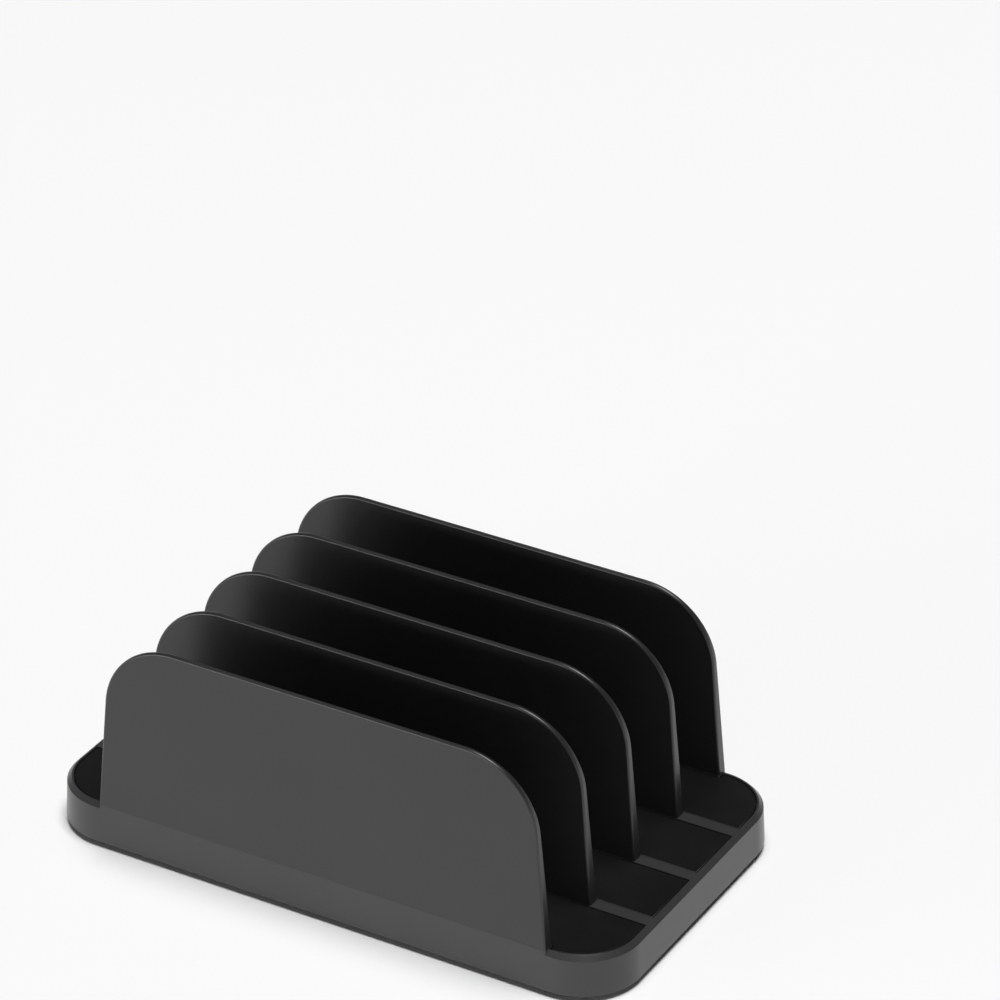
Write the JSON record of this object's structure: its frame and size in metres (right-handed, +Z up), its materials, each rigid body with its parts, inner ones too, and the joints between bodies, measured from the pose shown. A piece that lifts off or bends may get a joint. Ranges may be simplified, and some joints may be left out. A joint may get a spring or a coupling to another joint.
{
  "type": "desktop phone and tablet holder",
  "caption": "Low black plastic desk stand with upright rounded panels; phones and tablets stand on edge in the lined slots between them.",
  "frame": {"origin": "on the desk, under the middle of the base", "axes": "+X along the slots, +Y from the front panel to the rear panel, +Z up"},
  "size_m": [0.14, 0.08, 0.0534],
  "materials": {
    "abs": "matte black moulded ABS with a fine texture",
    "silicone": "matte black silicone",
    "rubber": "matte black rubber",
    "steel": "zinc plated"
  },
  "bodies": {
    "root": {"base_shell": "abs", "base_cover": "abs", "front_panel": "abs", "divider_1": "abs", "divider_2": "abs", "divider_3": "abs", "rear_panel": "abs", "slot_mat_1": "silicone", "slot_mat_2": "silicone", "slot_mat_3": "silicone", "slot_mat_4": "silicone", "rubber_foot_1": "rubber", "rubber_foot_2": "rubber", "rubber_foot_3": "rubber", "rubber_foot_4": "rubber", "cover_screw_1": "steel", "cover_screw_2": "steel", "cover_screw_3": "steel", "cover_screw_4": "steel", "cover_screw_5": "steel", "cover_screw_6": "steel"}
  },
  "joints": []
}
